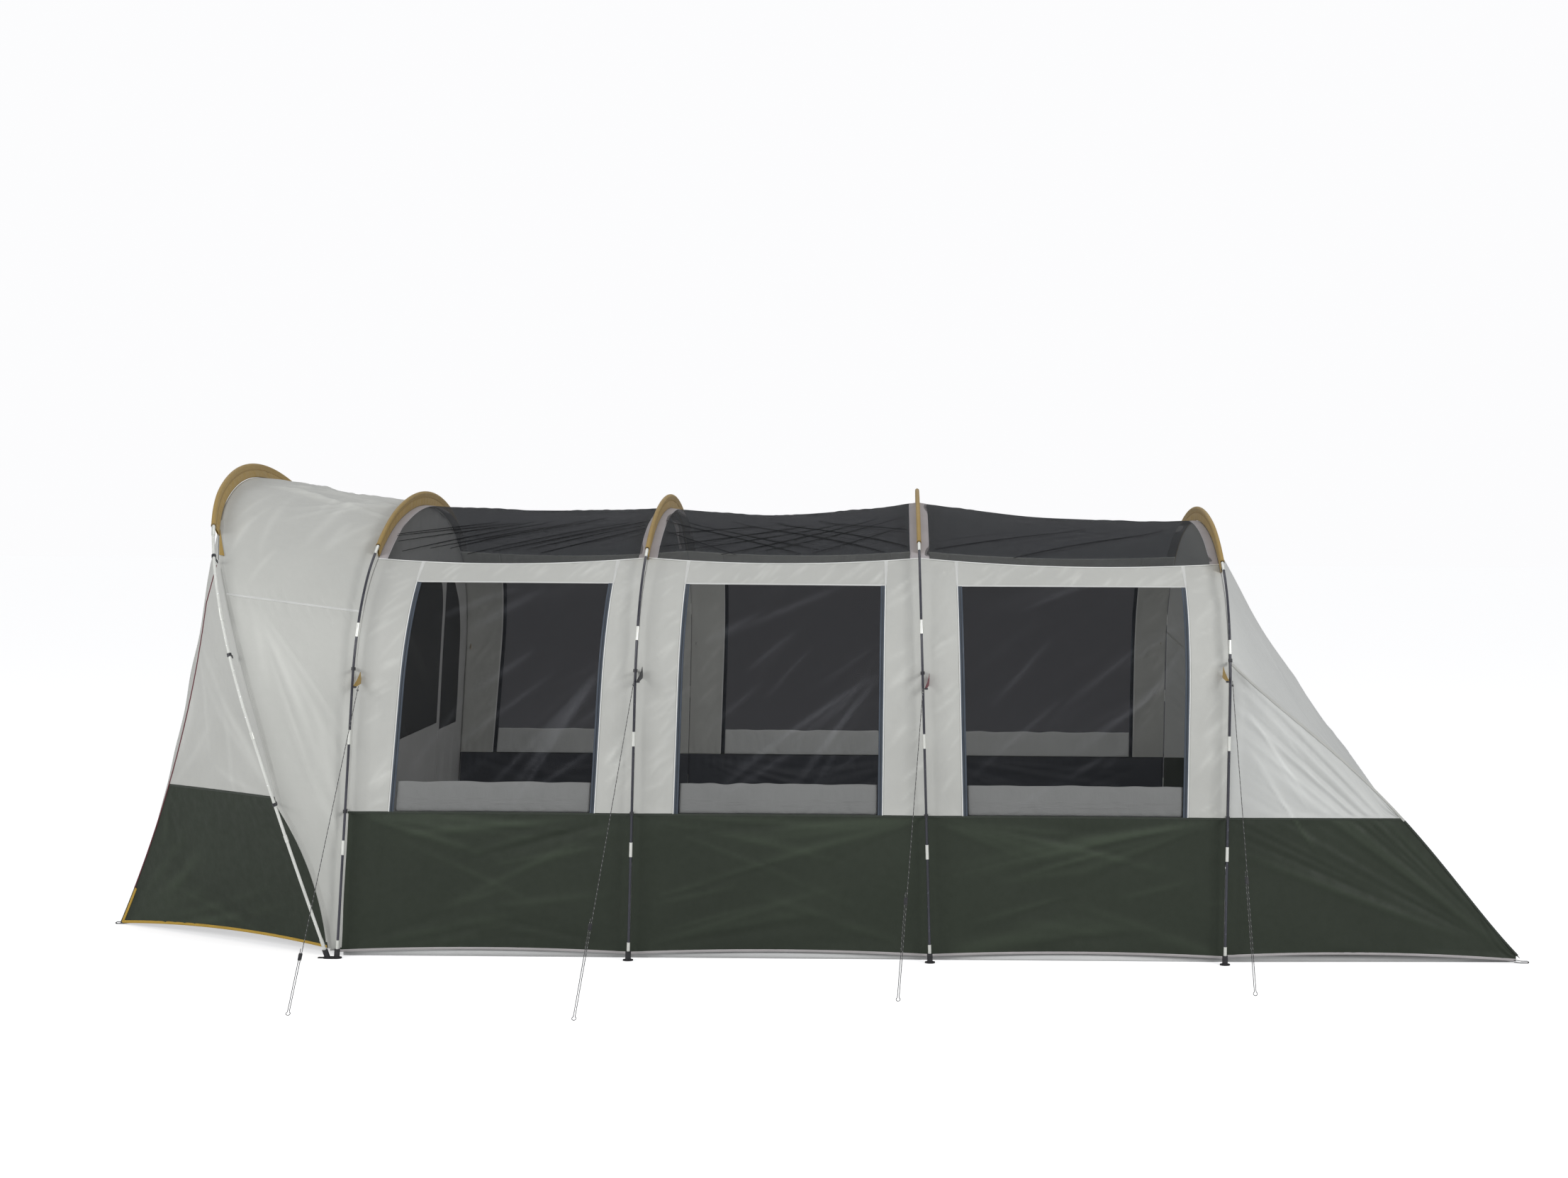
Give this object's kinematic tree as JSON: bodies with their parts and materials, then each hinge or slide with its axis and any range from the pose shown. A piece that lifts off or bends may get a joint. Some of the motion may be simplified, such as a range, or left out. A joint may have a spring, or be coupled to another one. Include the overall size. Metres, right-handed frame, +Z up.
{
  "type": "tunnel tent",
  "caption": "Tunnel tent on arched poles with a leaning front canopy, mesh-roofed window bays, a sloping rear bay and guy lines.",
  "frame": {"origin": "centre of the tent's footprint, on the ground", "axes": "+X from the front canopy towards the sloping rear bay, +Y towards the far side, +Z up"},
  "size_m": [6.36, 5.4508, 2.144],
  "materials": {
    "canopy_pole": "satin",
    "bay_pole": "satin",
    "shock_cord": "matt",
    "ferrule": "satin",
    "foot_plastic": "satin",
    "clip_plastic": "satin",
    "gold_cloth": "matt",
    "floor_cloth": "matt",
    "green_cloth": "matt",
    "window_mesh": "matt",
    "roof_mesh": "matt",
    "inner_mesh": "matt",
    "pocket_cloth": "matt",
    "inner_cloth": "matt",
    "zip_metal": "satin",
    "webbing": "matt",
    "guy_cord": "matt",
    "slider_plastic": "satin",
    "grey_cloth": "matt"
  },
  "bodies": {
    "tent": {"hoop_1": "canopy_pole", "hoop_2": "bay_pole", "hoop_3": "bay_pole", "hoop_4": "bay_pole", "hoop_5": "bay_pole", "shock_cords": "shock_cord", "pole_ferrules": "ferrule", "hoop_feet": "foot_plastic", "front_feet": "foot_plastic", "pole_clips": "clip_plastic", "sleeve_1": "gold_cloth", "sleeve_2": "gold_cloth", "sleeve_3": "gold_cloth", "sleeve_4": "gold_cloth", "sleeve_5": "gold_cloth", "groundsheet": "floor_cloth", "lower_walls": "green_cloth", "upper_wall_1": "grey_cloth", "upper_wall_2": "grey_cloth", "upper_wall_3": "grey_cloth", "window_mesh_1": "window_mesh", "window_mesh_2": "window_mesh", "window_mesh_3": "window_mesh", "window_pockets": "pocket_cloth", "roof_mesh_1": "roof_mesh", "roof_mesh_2": "roof_mesh", "roof_mesh_3": "roof_mesh", "canopy": "grey_cloth", "wings_upper": "grey_cloth", "wings_lower": "green_cloth", "front_wall": "grey_cloth", "inner_wall": "inner_cloth", "inner_wall_mesh": "inner_mesh", "rear_sides_upper": "grey_cloth", "rear_sides_lower": "green_cloth", "rear_slope_upper": "grey_cloth", "rear_slope_lower": "green_cloth", "webbing": "webbing", "guy_near_2": "guy_cord", "guy_near_3": "guy_cord", "guy_near_4": "guy_cord", "guy_near_5": "guy_cord", "guy_far_2": "guy_cord", "guy_far_3": "guy_cord", "guy_far_4": "guy_cord", "guy_far_5": "guy_cord"},
    "front_door": {"front_door": "grey_cloth"},
    "front_zip": {"front_zip_slider": "zip_metal"},
    "inner_door": {"inner_door": "inner_cloth", "inner_door_mesh": "inner_mesh"},
    "inner_zip": {"inner_zip_slider": "zip_metal"},
    "tensioner_near_2": {"slider_near_2": "slider_plastic"},
    "tensioner_near_3": {"slider_near_3": "slider_plastic"},
    "tensioner_near_4": {"slider_near_4": "slider_plastic"},
    "tensioner_near_5": {"slider_near_5": "slider_plastic"},
    "tensioner_far_2": {"slider_far_2": "slider_plastic"},
    "tensioner_far_3": {"slider_far_3": "slider_plastic"},
    "tensioner_far_4": {"slider_far_4": "slider_plastic"},
    "tensioner_far_5": {"slider_far_5": "slider_plastic"}
  },
  "joints": [
    {"name": "front_door_swing", "type": "hinge", "parent": "tent", "child": "front_door", "pos_m": [-3.12003, 0.31513, 0.13921], "axis": [-0.2558, -0.2431, -0.9357], "range_deg": [0, 100]},
    {"name": "front_zip", "type": "slide", "parent": "tent", "child": "front_zip", "axis": [0.2558, -0.2431, 0.9357], "range_m": [0, 1.44]},
    {"name": "inner_door_swing", "type": "hinge", "parent": "tent", "child": "inner_door", "pos_m": [-1.92292, 0.65, 0.79904], "axis": [0.0488, 0, 0.9988], "range_deg": [0, 95]},
    {"name": "inner_zip", "type": "slide", "parent": "tent", "child": "inner_zip", "axis": [0.0488, 0, 0.9988], "range_m": [0, 1.16]},
    {"name": "guy_near_2_tension", "type": "slide", "parent": "tent", "child": "tensioner_near_2", "axis": [0.0129, -0.7363, -0.6766], "range_m": [0, 0.15]},
    {"name": "guy_near_3_tension", "type": "slide", "parent": "tent", "child": "tensioner_near_3", "axis": [-0.0396, -0.7397, -0.6718], "range_m": [0, 0.15]},
    {"name": "guy_near_4_tension", "type": "slide", "parent": "tent", "child": "tensioner_near_4", "axis": [-0.0611, -0.6067, -0.7926], "range_m": [0, 0.15]},
    {"name": "guy_near_5_tension", "type": "slide", "parent": "tent", "child": "tensioner_near_5", "axis": [0.0085, -0.5141, -0.8577], "range_m": [0, 0.15]},
    {"name": "guy_far_2_tension", "type": "slide", "parent": "tent", "child": "tensioner_far_2", "axis": [0.0129, 0.7363, -0.6766], "range_m": [0, 0.15]},
    {"name": "guy_far_3_tension", "type": "slide", "parent": "tent", "child": "tensioner_far_3", "axis": [-0.0396, 0.7397, -0.6718], "range_m": [0, 0.15]},
    {"name": "guy_far_4_tension", "type": "slide", "parent": "tent", "child": "tensioner_far_4", "axis": [-0.0611, 0.6067, -0.7926], "range_m": [0, 0.15]},
    {"name": "guy_far_5_tension", "type": "slide", "parent": "tent", "child": "tensioner_far_5", "axis": [0.0085, 0.5141, -0.8577], "range_m": [0, 0.15]}
  ]
}
